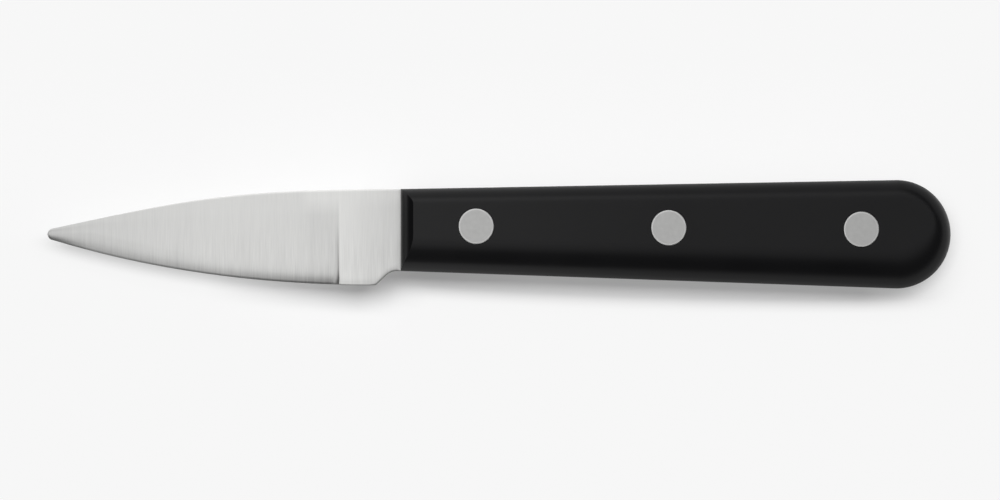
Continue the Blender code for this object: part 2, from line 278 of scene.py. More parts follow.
# %% Ground stainless steel
def broad_tones_and_handle_shade(tree, x, y, on_ricasso):
    """The slow changes of tone, with the painted shade beside the handle, for these places and for how far a
    place is on the ricasso.
    """
    # painted shade: the ricasso is darker next to the black handle, less so near the spine
    painted_handle_shade = add_node(
        tree, "ShaderNodeMapRange",
        {"From Min": RICASSO_SPINE_Y[0], "From Max": RICASSO_SPINE_Y[1],
         "To Min": RICASSO_HANDLE_SHADE[0], "To Max": RICASSO_HANDLE_SHADE[1]},
        {"Value": y},
    )
    ricasso = add_node(
        tree, "ShaderNodeMapRange",
        {"From Min": PLUNGE_X, "From Max": FRONT_X, "To Min": RICASSO_FRONT_TONE},
        {"Value": x, "To Max": painted_handle_shade.outputs["Result"]},
    )
    by_plunge = add_node(
        tree, "ShaderNodeMapRange",
        {"From Min": GROUND_SPINE_Y[0], "From Max": GROUND_SPINE_Y[1],
         "To Min": GROUND_REAR_TONES[0], "To Max": GROUND_REAR_TONES[1]},
        {"Value": y},
    )
    ground_face = add_node(
        tree, "ShaderNodeMapRange",
        {"From Min": GROUND_REAR_X[0], "From Max": GROUND_REAR_X[1]},
        {"Value": x, "To Max": by_plunge.outputs["Result"]},
    )
    with_tip = add_node(
        tree, "ShaderNodeMapRange",
        {"From Min": TIP_TONE_X[0], "From Max": TIP_TONE_X[1], "To Max": TIP_TONE},
        {"Value": x, "To Min": ground_face.outputs["Result"]},
    )
    broad = add_node(
        tree, "ShaderNodeMapRange",
        links={"Value": on_ricasso, "To Min": with_tip.outputs["Result"],
               "To Max": ricasso.outputs["Result"]},
    )
    return broad.outputs["Result"]


def coarse_band(tree, x, y, on_ricasso):
    """How much of the coarse grey there is: a band beside the plunge, fading out towards the spine."""
    low_down = add_node(
        tree, "ShaderNodeMapRange",
        {"From Min": COARSE_Y[0], "From Max": COARSE_Y[1], "To Max": COARSE_SHARE},
        {"Value": y},
    )
    near_plunge = add_node(
        tree, "ShaderNodeMapRange",
        {"From Min": COARSE_X[0], "From Max": COARSE_X[1]},
        {"Value": x, "To Max": low_down.outputs["Result"]},
    )
    coarse = add_node(
        tree, "ShaderNodeMapRange", {"To Max": 0.0},
        {"Value": on_ricasso, "To Min": near_plunge.outputs["Result"]},
    )
    return coarse.outputs["Result"]


def ground_steel():
    """Pale satin steel with crosswise streaks."""
    made, tree, place = start_material("ground_stainless_steel")
    scratches = lines_noise(tree, place, SCRATCHES, 2.0, 3.0)
    bunches = lines_noise(tree, place, BUNCHES, 1.0, 11.0)
    xyz = add_node(tree, "ShaderNodeSeparateXYZ", links={"Vector": place})
    x, y = xyz.outputs["X"], xyz.outputs["Y"]
    towards_edge = add_node(
        tree, "ShaderNodeMapRange",
        {"From Min": STREAKS_Y[0], "From Max": STREAKS_Y[1],
         "To Min": SOFT_STREAKS, "To Max": CRISP_STREAKS},
        {"Value": y},
    )
    both = add_node(tree, "ShaderNodeMath", {"operation": "MULTIPLY_ADD", 1: BUNCH_STRENGTH},
                    {0: bunches, 2: scratches})
    centred = add_node(tree, "ShaderNodeMath", {"operation": "SUBTRACT", 1: MEAN_NOISE},
                       {0: both.outputs[0]})
    on_ricasso = add_node(
        tree, "ShaderNodeMapRange", {"From Min": PLUNGE_X - 0.25 * MM, "From Max": PLUNGE_X},
        {"Value": x},
    ).outputs["Result"]
    streaks = add_node(
        tree, "ShaderNodeMath", {"operation": "MULTIPLY_ADD"},
        {0: centred.outputs[0], 1: towards_edge.outputs["Result"], 2: broad_tones_and_handle_shade(tree, x, y, on_ricasso)},
    )
    tone = add_node(tree, "ShaderNodeMapRange", {"From Min": -TONE_REACH, "From Max": TONE_REACH},
                    {"Value": streaks.outputs[0]})
    ground = add_node(tree, "ShaderNodeMix", {"data_type": "RGBA", "A": DARKEST, "B": BRIGHTEST},
                      {"Factor": tone.outputs["Result"]})
    look = add_node(
        tree, "ShaderNodeMix", {"data_type": "RGBA", "B": COARSE},
        {"Factor": coarse_band(tree, x, y, on_ricasso), "A": ground.outputs["Result"]},
    )
    dulled = add_node(tree, "ShaderNodeMapRange", {"To Min": 0.34, "To Max": 0.30},
                      {"Value": tone.outputs["Result"]})
    relief = add_node(tree, "ShaderNodeBump", {"Strength": 0.08, "Distance": 0.008 * MM},
                      {"Height": scratches})
    finish_material(
        tree, {"Metallic": 1.0},
        {"Base Color": look.outputs["Result"], "Roughness": dulled.outputs["Result"],
         "Normal": relief.outputs["Normal"]},
    )
    return made


steel = ground_steel()
print("material:", steel.name)

# %% [markdown]
# ## Moulded black acetal
#
# The scales are black acetal, moulded and then sanded and buffed together with the steel. Acetal is a waxy,
# dense plastic: the light goes no deeper than the skin, so it is almost black, with a soft sheen that is
# wider than a lacquer's. Buffing leaves a very fine unevenness, drawn here as noise of 0.4 mm that is about a
# hundredth of a millimetre deep, and a slightly uneven gloss over areas of about a centimetre. The strength
# of
# the reflection is painted by place: a painted sheen that falls a little along the handle, and on the front
# slope a painted highlight, dull at the top and bright where the slope meets the steel. The slope is told by
# the way it faces, so the painted highlight follows its roundness.

# %% Moulded black acetal
GRAIN = 0.4 * MM
CLOUDS = 11 * MM
PAINTED_SHEEN = (0.26, 0.175)              # painted sheen: specular level at the handle's front, and a run behind it
PAINTED_SHEEN_RUN = 48 * MM
SLOPE_BEGINS = (-0.30, -0.40)      # X of the outward direction, where the slope's painted highlight takes over
SLOPE_STEEPENS = (-0.58, -0.88)    # and where that painted highlight grows
SLOPE_PAINTED_HIGHLIGHT = (0.15, 2.4)          # from this to this, beside 1 for the rest of the handle


def black_acetal():
    """Buffed black plastic with a cloudy gloss, a painted sheen along the handle and a painted highlight on
    the front slope.
    """
    made, tree, place = start_material("buffed_black_acetal")
    grain = add_node(tree, "ShaderNodeTexNoise", {"Scale": 1 / GRAIN, "Detail": 3.0}, {"Vector": place})
    clouds = add_node(tree, "ShaderNodeTexNoise", {"Scale": 1 / CLOUDS, "Detail": 2.0}, {"Vector": place})
    look = add_node(
        tree, "ShaderNodeMix",
        {"data_type": "RGBA", "A": colour("0C0C0D"), "B": colour("121213")},
        {"Factor": clouds.outputs["Fac"]},
    )
    gloss = add_node(tree, "ShaderNodeMapRange", {"To Min": 0.27, "To Max": 0.35},
                     {"Value": clouds.outputs["Fac"]})
    xyz = add_node(tree, "ShaderNodeSeparateXYZ", links={"Vector": place})
    # painted sheen: the reflection is made stronger at the handle's front and weaker towards the butt
    sheen = add_node(
        tree, "ShaderNodeMapRange",
        {"From Min": FRONT_X, "From Max": FRONT_X + PAINTED_SHEEN_RUN, "To Min": PAINTED_SHEEN[0], "To Max": PAINTED_SHEEN[1]},
        {"Value": xyz.outputs["X"]},
    )
    # painted highlight on the front slope, picked out by the way the surface faces
    facing = add_node(tree, "ShaderNodeSeparateXYZ",
                      links={"Vector": add_node(tree, "ShaderNodeTexCoord").outputs["Normal"]})
    slope_painted_highlight = add_node(
        tree, "ShaderNodeMapRange",
        {"interpolation_type": "SMOOTHSTEP", "From Min": SLOPE_STEEPENS[0], "From Max": SLOPE_STEEPENS[1],
         "To Min": SLOPE_PAINTED_HIGHLIGHT[0], "To Max": SLOPE_PAINTED_HIGHLIGHT[1]},
        {"Value": facing.outputs["X"]},
    )
    on_slope = add_node(
        tree, "ShaderNodeMapRange",
        {"From Min": SLOPE_BEGINS[0], "From Max": SLOPE_BEGINS[1], "To Min": 1.0},
        {"Value": facing.outputs["X"], "To Max": slope_painted_highlight.outputs["Result"]},
    )
    specular = add_node(tree, "ShaderNodeMath", {"operation": "MULTIPLY"},
                        {0: sheen.outputs["Result"], 1: on_slope.outputs["Result"]})
    relief = add_node(tree, "ShaderNodeBump", {"Strength": 0.10, "Distance": 0.01 * MM},
                      {"Height": grain.outputs["Fac"]})
    finish_material(
        tree, {"IOR": 1.48},
        {"Base Color": look.outputs["Result"], "Roughness": gloss.outputs["Result"],
         "Specular IOR Level": specular.outputs[0], "Normal": relief.outputs["Normal"]},
    )
    return made


acetal = black_acetal()
print("material:", acetal.name)

# %% [markdown]
# ## Satin rivet steel
#
# The rivets are turned from softer stainless steel, pressed, and sanded flush with the plastic. Sanding in
# every direction leaves a duller and darker grey than the blade's. The rim of each head gets a painted
# highlight, a brighter grey ring. The rim is told apart by an attribute that the rivet's mesh carries.

# %% Satin rivet steel
MOTTLE = 0.8 * MM   # size of the patches that the sanding leaves


def rivet_steel():
    """Sanded steel with a mottled grey and a painted highlight round the rim."""
    made, tree, place = start_material("sanded_rivet_steel")
    mottle = add_node(tree, "ShaderNodeTexNoise", {"Scale": 1 / MOTTLE, "Detail": 3.0}, {"Vector": place})
    body = add_node(
        tree, "ShaderNodeMix",
        {"data_type": "RGBA", "A": colour("B0B0AF"), "B": colour("C0C0BF")},
        {"Factor": mottle.outputs["Fac"]},
    )
    # painted highlight: a brighter grey ring at each head's rim
    rim = add_node(tree, "ShaderNodeAttribute", {"attribute_name": "painted_rim_highlight"})
    look = add_node(
        tree, "ShaderNodeMix", {"data_type": "RGBA", "B": colour("D2D2D1")},
        {"Factor": rim.outputs["Fac"], "A": body.outputs["Result"]},
    )
    relief = add_node(tree, "ShaderNodeBump", {"Strength": 0.08, "Distance": 0.01 * MM},
                      {"Height": mottle.outputs["Fac"]})
    finish_material(
        tree, {"Metallic": 1.0, "Roughness": 0.38},
        {"Base Color": look.outputs["Result"], "Normal": relief.outputs["Normal"]},
    )
    return made


rivet_metal = rivet_steel()
print("material:", rivet_metal.name)

# %% [markdown]
# ## Blade: the outline
#
# The real blank is punched out of sheet steel, blade and tang in one. Its outline is the rounded tip, two
# long curves, the sloping heel with its fillet, and the handle with its round butt. Each part is given as a
# height above or below the centre line, so that it can be asked for at any place along the knife.

# %% The blade's outline
TIP_RADIUS = 1.0 * MM
SPINE_ANGLE = math.radians(12)     # at which the spine leaves the tip
EDGE_ANGLE = math.radians(12.5)
SPINE_PULLS = (0.378, 0.51)        # how far each end's direction carries into the curve
EDGE_PULLS = (0.045, 0.593)
CURVE_POINTS = 400
HEEL_ANGLE = math.radians(43.5)
HEEL_DEPTH = FRONT_DROP + 2.42 * MM
HEEL_FILLET = 2.95 * MM
fillet_end = FRONT_X - 0.6 * MM
fillet_start = fillet_end - HEEL_FILLET * math.sin(HEEL_ANGLE)
fillet_depth = FRONT_DROP + HEEL_FILLET * (1 - math.cos(HEEL_ANGLE))
HEEL_X = fillet_start - (HEEL_DEPTH - fillet_depth) / math.tan(HEEL_ANGLE)


def drawn_curve(start_angle, end, pulls):
    """Points of the curve that leaves the rounded tip at this angle and arrives level at the end."""
    start = Vector((TIP_X + TIP_RADIUS * (1 - math.sin(start_angle)), TIP_RADIUS * math.cos(start_angle)))
    end = Vector(end)
    reach = end.x - start.x
    leave = start + pulls[0] * reach * Vector((math.cos(start_angle), math.sin(start_angle)))
    arrive = end - pulls[1] * reach * Vector((1, 0))
    return interpolate_bezier(start, leave, arrive, end, CURVE_POINTS)


spine_line = drawn_curve(SPINE_ANGLE, (FRONT_X, FRONT_RISE), SPINE_PULLS)
edge_line = drawn_curve(EDGE_ANGLE, (HEEL_X, HEEL_DEPTH), EDGE_PULLS)


def reach_at(x, line, front):
    """How far the outline reaches from the centre line at x: along the blade, the handle or the butt."""
    if x < line[0].x:
        return math.sqrt(max(0.0, TIP_RADIUS**2 - (TIP_X + TIP_RADIUS - x) ** 2))
    if x <= line[-1].x:
        after = next(at for at, point in enumerate(line) if point.x >= x)
        left, right = line[max(after - 1, 0)], line[after]
        share = (x - left.x) / max(right.x - left.x, 1e-9)
        return left.y + share * (right.y - left.y)
    if x < fillet_start:
        return HEEL_DEPTH - (x - HEEL_X) * math.tan(HEEL_ANGLE)
    if x < FRONT_X:
        return FRONT_DROP + HEEL_FILLET - math.sqrt(HEEL_FILLET**2 - max(0.0, fillet_end - x) ** 2)
    if x < BUTT_CENTRE_X:
        return front + (BUTT_RADIUS - front) * (x - FRONT_X) / (BUTT_CENTRE_X - FRONT_X)
    return math.sqrt(max(0.0, BUTT_RADIUS**2 - (x - BUTT_CENTRE_X) ** 2))


print(f"heel corner at {1000 * HEEL_X:.2f} mm, {1000 * HEEL_DEPTH:.2f} mm deep")

# %% [markdown]
# ## Blade: the sheet
#
# The outline could be a curve that is filled and extruded, but a filled curve has long thin triangles, and
# the grinding needs points in rows. So a grid is added as one face of the sheet. Its columns stand close
# together where the outline bends, and each is stretched and moved to reach from the lower to the upper
# outline. The sheet is also drawn down towards the tip, and the rows beside the edge are spread so that
# their facet is as wide all along.

# %% Columns and rows
PLUNGE_WIDTH = 1.75 * MM
PLUNGE_STEPS = 18


def spread(start, end, count):
    """This many places from start up to, and not including, end."""
    return [start + (end - start) * step / count for step in range(count)]


# Places along the knife, from the tip to the butt
tip_turns = [math.radians(turn) for turn in range(4, 90, 9)]
columns = [TIP_X + TIP_RADIUS * (1 - math.cos(turn)) for turn in tip_turns]
columns += spread(TIP_X + TIP_RADIUS, PLUNGE_X - PLUNGE_WIDTH, 90)
columns += spread(PLUNGE_X - PLUNGE_WIDTH, PLUNGE_X, PLUNGE_STEPS)
columns += [PLUNGE_X, PLUNGE_X + 0.03 * MM]
columns += spread(PLUNGE_X + 0.25 * MM, HEEL_X, 8)
columns += spread(HEEL_X, fillet_start, 4)
columns += [fillet_end - HEEL_FILLET * math.sin(HEEL_ANGLE * (1 - step / 10)) for step in range(11)]
columns += spread(FRONT_X, BUTT_CENTRE_X, 12)
columns += [BUTT_CENTRE_X + BUTT_RADIUS * math.sin(math.radians(turn)) for turn in range(0, 90, 3)]
columns.append(BUTT_X - 0.003 * MM)

# Rows from the edge up: share of the height, and share of the thickness that the grinding leaves
ROWS = (
    (0.000, 0.420), (0.002, 0.553), (0.015, 0.619), (0.030, 0.658), (0.045, 0.695), (0.060, 0.729),
    (0.075, 0.760), (0.090, 0.787), (0.105, 0.810), (0.120, 0.829), (0.135, 0.845), (0.150, 0.858),
    (0.165, 0.867), (0.180, 0.875), (0.200, 0.883), (0.220, 0.890), (0.300, 0.902), (0.400, 0.917),
    (0.550, 0.944), (0.680, 0.974), (0.740, 0.989), (0.800, 1.000), (0.976, 1.000), (0.988, 1.000),
    (1.000, 1.000),
)
LAST_COLUMN = len(columns) - 1
LAST_ROW = len(ROWS) - 1
print(f"blade: {len(columns)} columns by {len(ROWS)} rows")

# %% One face of the sheet
bpy.ops.object.select_all(action="DESELECT")
bpy.ops.mesh.primitive_grid_add(x_subdivisions=LAST_COLUMN, y_subdivisions=LAST_ROW, size=1)
blade = start_piece("ground_blade")
shape = bmesh.from_edit_mesh(blade.data)
column_of = [round((vertex.co.x + 0.5) * LAST_COLUMN) for vertex in shape.verts]
row_of = [round((vertex.co.y + 0.5) * LAST_ROW) for vertex in shape.verts]

for row, (height_share, _) in enumerate(ROWS):
    pick(lambda vertex: row_of[vertex.index] == row)
    bpy.ops.transform.translate(value=(0, height_share - row / LAST_ROW, HALF_STEEL))

TIP_THICKNESS_SHARE = 0.44   # of the steel's thickness that is left at the tip
END_SHARE = 0.75             # of that, at the very end, which is rounded
END_LENGTH = 2 * MM
FACET_ROW = 15               # the facet beside the edge reaches up to this row
FACET_WIDTH = 3.2 * MM
FACET_LIMIT = 0.6            # the most of the height that it takes, where the blade is narrow
for column, x in enumerate(columns):
    top = reach_at(x, spine_line, FRONT_RISE)
    bottom = -reach_at(x, edge_line, FRONT_DROP)
    along = min(1.0, max(0.0, (x - TIP_X) / (PLUNGE_X - TIP_X)))
    rounding = END_SHARE + (1 - END_SHARE) * math.sqrt(min(1.0, (x - TIP_X) / END_LENGTH))
    taper = (TIP_THICKNESS_SHARE + (1 - TIP_THICKNESS_SHARE) * along) * rounding
    pick(lambda vertex: column_of[vertex.index] == column)
    bpy.ops.transform.resize(value=(1, top - bottom, taper), center_override=(0, 0, 0))
    bpy.ops.transform.translate(value=(x + 0.5 - column / LAST_COLUMN, (top + bottom) / 2, 0))
    if x < PLUNGE_X:
        share = ROWS[FACET_ROW][0]
        widened = min(FACET_WIDTH / (top - bottom), FACET_LIMIT) / share
        pick(lambda vertex: column_of[vertex.index] == column and row_of[vertex.index] <= FACET_ROW)
        bpy.ops.transform.resize(value=(1, widened, 1), center_override=(0, bottom, 0))
        pick(lambda vertex: column_of[vertex.index] == column and row_of[vertex.index] > FACET_ROW)
        bpy.ops.transform.resize(value=(1, (1 - widened * share) / (1 - share), 1),
                                 center_override=(0, top, 0))
print(f"sheet: {len(column_of)} points")

# %% [markdown]
# ## Blade: the grinding
#
# On a belt the smith takes steel away from the blade's faces down to a thin edge, and stops short of the
# handle, where the belt's corner leaves a hollow step, the plunge. Here each row of points is pressed
# towards the middle of the steel by its own share. In the columns of the plunge that share runs out along a
# quarter circle.

# %% The blade's grinding
PLUNGE_RADIUS = 2.0 * MM
plunge_first = next(at for at, x in enumerate(columns) if x >= PLUNGE_X - PLUNGE_WIDTH - NEAR)
plunge_last = plunge_first + PLUNGE_STEPS
for row, (_, kept) in enumerate(ROWS):
    ground_off = (1 - kept) * HALF_STEEL
    if ground_off:
        pick(lambda vertex: row_of[vertex.index] == row and column_of[vertex.index] <= plunge_first)
        bpy.ops.transform.resize(value=(1, 1, kept), center_override=(0, 0, 0))
        fillet = math.sqrt(2 * PLUNGE_RADIUS * ground_off)
        for column in range(plunge_first + 1, plunge_last):
            climbed = max(0.0, fillet - (PLUNGE_X - columns[column])) ** 2 / (2 * PLUNGE_RADIUS)
            pick(lambda vertex: row_of[vertex.index] == row and column_of[vertex.index] == column)
            bpy.ops.transform.resize(value=(1, 1, 1 - max(0.0, ground_off - climbed) / HALF_STEEL),
                                     center_override=(0, 0, 0))
print(f"plunge: columns {plunge_first} to {plunge_last}")

# %% [markdown]
# ## Blade: the hand work
#
# What a machine grinds, a hand finishes. The facet beside the edge is steeper towards the tip, so there it is
# turned about its upper crease. The corners of the ricasso, of the heel and along the spine are eased, by
# pressing the outermost rows in a little more. The plunge leans back, so its columns are turned about their
# foot, and those around it follow by less.

# %% Facet, eased corners and lean
TIP_FACET_TURN = math.radians(4)   # how much steeper the facet is at the tip
TIP_FACET_REACH = 0.6              # share of the ground length over which that fades out
for column in range(plunge_first):
    along = min(1.0, (columns[column] - TIP_X) / (TIP_FACET_REACH * (PLUNGE_X - TIP_X)))
    crease = next(v.co.copy() for v in bmesh.from_edit_mesh(blade.data).verts
                  if column_of[v.index] == column and row_of[v.index] == FACET_ROW)
    pick(lambda vertex: column_of[vertex.index] == column and row_of[vertex.index] < FACET_ROW)
    bpy.ops.transform.rotate(value=-TIP_FACET_TURN * (1 - along), orient_axis="X", center_override=crease)

# Thickness kept in the outermost rows, where the corners are eased: row, from X, to X, share
EASED = (
    (0, PLUNGE_X, HEEL_X, 0.928), (1, PLUNGE_X, HEEL_X, 0.940),
    (0, HEEL_X, FRONT_X, 0.880), (1, HEEL_X, FRONT_X, 0.905),
    (2, PLUNGE_X, FRONT_X, 0.950), (3, PLUNGE_X, FRONT_X, 0.968), (4, PLUNGE_X, FRONT_X, 0.983),
    (5, PLUNGE_X, FRONT_X, 0.995), (LAST_ROW, TIP_X + 8 * MM, FRONT_X, 0.950),
)
for row, from_x, to_x, kept in EASED:
    pick(lambda vertex: row_of[vertex.index] == row
         and from_x - NEAR < columns[column_of[vertex.index]] < to_x - NEAR)
    bpy.ops.transform.resize(value=(1, 1, kept), center_override=(0, 0, 0))

PLUNGE_LEAN = math.radians(1.5)
FOLLOW_BEFORE = 12                 # columns on either side that follow
FOLLOW_AFTER = 8
for column in range(plunge_first - FOLLOW_BEFORE, plunge_last + FOLLOW_AFTER):
    before = max(0, plunge_first - column) / (FOLLOW_BEFORE + 1)
    after = max(0, column - plunge_last) / (FOLLOW_AFTER + 1)
    lean = PLUNGE_LEAN * (1 - before) * (1 - after)
    foot = -reach_at(columns[column], edge_line, FRONT_DROP)
    pick(lambda vertex: column_of[vertex.index] == column)
    bpy.ops.transform.rotate(value=-lean, orient_axis="Z", center_override=(columns[column], foot, 0))

leaning = [v.co.x for v in bmesh.from_edit_mesh(blade.data).verts if column_of[v.index] == plunge_last]
print(f"plunge from {1000 * min(leaning):.2f} mm at one end to {1000 * max(leaning):.2f} mm at the other")

# %% [markdown]
# ## Blade: from one face to a solid
#
# The face is closed to half a blade by extruding its rim and flattening that down to the middle of the
# steel, and the mirror makes the other half.

# %% Closing the blade
bpy.ops.mesh.select_all(action="SELECT")
bpy.ops.mesh.region_to_loop()
bpy.ops.mesh.extrude_region()
bpy.ops.transform.resize(value=(1, 1, 0), center_override=(0, 0, 0))
bpy.ops.object.mode_set(mode="OBJECT")
apply_modifier(blade, "MIRROR", use_axis=(False, False, True), use_clip=True, merge_threshold=1e-6)
print(f"blade: {len(blade.data.polygons)} faces")

# %% [markdown]
# ## Rivet places and the drill
#
# All three rivets stand in a row, and the CAD nodes say where. One stepped drill is modelled as a circle,
# extruded and inset: wide for the head and narrow for the shank. A Boolean cuts it out of the tang and the
# scales at each place.

# %% The drill
RIVETS = ("front", "middle", "rear")
rivet_places = []
for rivet in RIVETS:
    low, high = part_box(f"{rivet}_rivet_socket")
    rivet_places.append(((low.x + high.x) / 2, (low.y + high.y) / 2))
HEAD_RADIUS = 3.0 * MM
HEAD_THICKNESS = 1.6 * MM
SHANK_RADIUS = 2.0 * MM
HAIRLINE = 0.05 * MM     # the joint that shows round each head
CIRCLE_POINTS = 72       # of every drilled or turned circle


def drilled(piece, wide, narrow, step_z, top_z, end_z):
    """Cuts a hole at each rivet: this wide down to step_z, and this narrow down to end_z."""
    for x, y in rivet_places:
        bpy.ops.object.select_all(action="DESELECT")
        bpy.ops.mesh.primitive_circle_add(vertices=CIRCLE_POINTS, radius=wide, fill_type="NGON",
                                          location=(x, y, top_z))
        bit = start_piece("drill_bit")
        bpy.ops.mesh.select_all(action="SELECT")
        if wide > narrow:
            bpy.ops.mesh.extrude_region_move(TRANSFORM_OT_translate={"value": (0, 0, step_z - top_z)})
            bpy.ops.mesh.inset(thickness=wide - narrow, depth=0)
            bpy.ops.mesh.extrude_region_move(TRANSFORM_OT_translate={"value": (0, 0, end_z - step_z)})
        else:
            bpy.ops.mesh.extrude_region_move(TRANSFORM_OT_translate={"value": (0, 0, end_z - top_z)})
        bpy.ops.mesh.select_all(action="SELECT")
        bpy.ops.mesh.normals_make_consistent(inside=False)
        bpy.ops.object.mode_set(mode="OBJECT")
        apply_modifier(piece, "BOOLEAN", operation="DIFFERENCE", solver="EXACT", object=bit)
        bpy.data.objects.remove(bit)


drilled(blade, SHANK_RADIUS, SHANK_RADIUS, 0, 2 * HALF_STEEL, -2 * HALF_STEEL)
smooth(blade, 40)
move_mesh(blade, (0, 0, MIDDLE_Z))
print("rivets at", [(round(1000 * x, 2), round(1000 * y, 2)) for x, y in rivet_places], "mm")

# %% [markdown]
# ## Handle scales: the bar
#
# Each scale is a moulded bar with a round butt. It is made from a filled circle: half of it is cut away, and
# the straight side that is left is extruded forward and narrowed. The bar starts longer than the handle, so
# that its rounding can run out over the front before that is cut.

# %% The bar of one scale
SPINE_ROUND = (2.9 * MM, 2.2 * MM)   # width and depth of the rounding along the spine
BELLY_ROUND = (6.4 * MM, 3.2 * MM)   # and along the belly
SPARE = 8 * MM                       # the bar is this much longer than the handle at its front
FINE = 0.001 * MM                    # how close a cut may run to a point before it uses that point

bpy.ops.object.select_all(action="DESELECT")
bpy.ops.mesh.primitive_circle_add(vertices=2 * CIRCLE_POINTS, radius=BUTT_RADIUS, fill_type="NGON",
                                  location=(BUTT_CENTRE_X, 0, HALF_STEEL))
left_scale = start_piece("left_handle_scale")
bpy.ops.mesh.select_all(action="SELECT")
bpy.ops.mesh.bisect(plane_co=(BUTT_CENTRE_X, 0, 0), plane_no=(1, 0, 0), clear_inner=True, threshold=FINE)
bar_x = FRONT_X - SPARE
lengthened = (BUTT_CENTRE_X - bar_x) / (BUTT_CENTRE_X - FRONT_X)
bar_rise = BUTT_RADIUS - (BUTT_RADIUS - FRONT_RISE) * lengthened
bar_drop = BUTT_RADIUS - (BUTT_RADIUS - FRONT_DROP) * lengthened
pick(lambda edge: max(vertex.co.x for vertex in edge.verts) < BUTT_CENTRE_X + NEAR, "edges")
bpy.ops.mesh.extrude_region()
bpy.ops.transform.resize(value=(1, (bar_rise + bar_drop) / (2 * BUTT_RADIUS), 1),
                         center_override=(BUTT_CENTRE_X, 0, HALF_STEEL))
bpy.ops.transform.translate(value=(bar_x - BUTT_CENTRE_X, (bar_rise - bar_drop) / 2, 0))
bpy.ops.mesh.select_all(action="SELECT")
# The half disc and the bar in front of it become one face again
bpy.ops.mesh.dissolve_limited(angle_limit=math.radians(0.01), use_dissolve_boundaries=False)
bpy.ops.mesh.select_all(action="SELECT")
foot_z = OUTER_Z - SPINE_ROUND[1]
bpy.ops.mesh.extrude_region_move(TRANSFORM_OT_translate={"value": (0, 0, foot_z - HALF_STEEL)})
print(f"bar: {1000 * (BUTT_X - bar_x):.1f} mm long before its front is cut")

# %% [markdown]
# ## Handle scales: the rounding
#
# The handle is rounded a little along the spine, more round the butt and most along the belly, where the
# fingers close. A bevel would round every side alike. So the rounding is built up in rings: each ring is
# inset from the last, pushed in further on the belly's side by squeezing it towards the spine, and lowered
# there by turning it a little about the spine.

# %% The rounding of one scale
RINGS = 16
FIRST_TURN = math.radians(20)        # the rounding meets the steel at a corner, not upright
LAST_INSET = 0.3 * MM                # a narrow flat ring, so that the shading of the face stays flat
squeezed = 1.0
inset_so_far = 0.0
for ring in range(RINGS + 1):
    turn = FIRST_TURN + (math.pi / 2 - FIRST_TURN) * ring / RINGS
    across = 1 - math.cos(turn) / math.cos(FIRST_TURN)
    below = (1 - math.sin(turn)) / (1 - math.sin(FIRST_TURN))
    inward = SPINE_ROUND[0] * across
    if ring:
        bpy.ops.mesh.inset(thickness=inward - inset_so_far, depth=0)
    inset_so_far = inward
    height = 2 * BUTT_RADIUS - 2 * inward
    squeeze = 1 - (BELLY_ROUND[0] - SPINE_ROUND[0]) * across / height
    spine_z = OUTER_Z - SPINE_ROUND[1] * below
    pivot = (0, BUTT_RADIUS - inward, spine_z)
    bpy.ops.transform.resize(value=(1, squeeze / squeezed, 0), center_override=pivot)
    squeezed = squeeze
    lower_by = (BELLY_ROUND[1] - SPINE_ROUND[1]) * below
    bpy.ops.transform.rotate(value=-math.atan2(lower_by, 2 * BUTT_RADIUS), orient_axis="X",
                             center_override=pivot)
bpy.ops.mesh.inset(thickness=LAST_INSET, depth=0)
print("scale: rounded bar of", len(bmesh.from_edit_mesh(left_scale.data).faces), "faces")

# %% [markdown]
# ## Handle scales: the front slope
#
# A grinding wheel gives the handle's front a rounded slope down to the steel. A row of bisecting planes does
# the same: the first stands upright, and each next one leans further over and takes a thinner chip.

# %% The front slope of one scale
SLOPE_AHEAD = 0.13 * MM              # the slope's foot stands this far ahead of the tang's front
SLOPE_RUN = 2.15 * MM                # its length along the knife, and through the scale
SLOPE_DEPTH = 3.0 * MM
SLOPE_TURN = math.radians(60)
SLOPE_CUTS = 12
slope_x = FRONT_X - SLOPE_AHEAD
middle_turn = math.atan2(SLOPE_DEPTH, SLOPE_RUN)
steep = middle_turn + SLOPE_TURN / 2
slope_radius = math.hypot(SLOPE_RUN, SLOPE_DEPTH) / (2 * math.sin(SLOPE_TURN / 2))
cuts = [((slope_x, 0, 0), (-1, 0, 0))]
for step in range(SLOPE_CUTS):
    turn = steep - SLOPE_TURN * step / SLOPE_CUTS
    between = turn - SLOPE_TURN / SLOPE_CUTS / 2
    x = slope_x + slope_radius * (math.sin(steep) - math.sin(turn))
    z = OUTER_Z - SLOPE_DEPTH + slope_radius * (math.cos(turn) - math.cos(steep))
    cuts.append(((x, 0, z), (-math.sin(between), 0, math.cos(between))))
for point, outward in cuts:
    bpy.ops.mesh.select_all(action="SELECT")
    bpy.ops.mesh.bisect(plane_co=point, plane_no=outward, clear_outer=True, use_fill=True, threshold=FINE)
bpy.ops.mesh.select_all(action="SELECT")
bpy.ops.mesh.remove_doubles(threshold=2 * FINE)
bpy.ops.mesh.normals_make_consistent(inside=False)
bpy.ops.object.mode_set(mode="OBJECT")
print(f"front slope: {len(cuts)} cuts on a radius of {1000 * slope_radius:.1f} mm")

# %% [markdown]
# ## Handle scales: the pair
#
# The drill sinks each rivet's head and lets its shank through. The right scale is the left one's mirror
# image, so it is copied and its mesh mirrored through the middle of the steel.

# %% Two scales
seat_z = OUTER_Z - HEAD_THICKNESS
drilled(left_scale, HEAD_RADIUS + HAIRLINE, SHANK_RADIUS, seat_z, OUTER_Z + MM, HALF_STEEL - MM)
right_scale = copy_of(left_scale, "right_handle_scale")
move_mesh(right_scale, (0, 0, MIDDLE_Z), mirror_z=True)
move_mesh(left_scale, (0, 0, MIDDLE_Z))
for scale in (left_scale, right_scale):
    smooth(scale, 16)
    heights = [1000 * vertex.co.z for vertex in scale.data.vertices]
    widths = [1000 * vertex.co.y for vertex in scale.data.vertices]
    print(f"{scale.name}: z {min(heights):.3f} to {max(heights):.3f}, y {min(widths):.3f} to "
          f"{max(widths):.3f} mm, {len(scale.data.polygons)} faces")
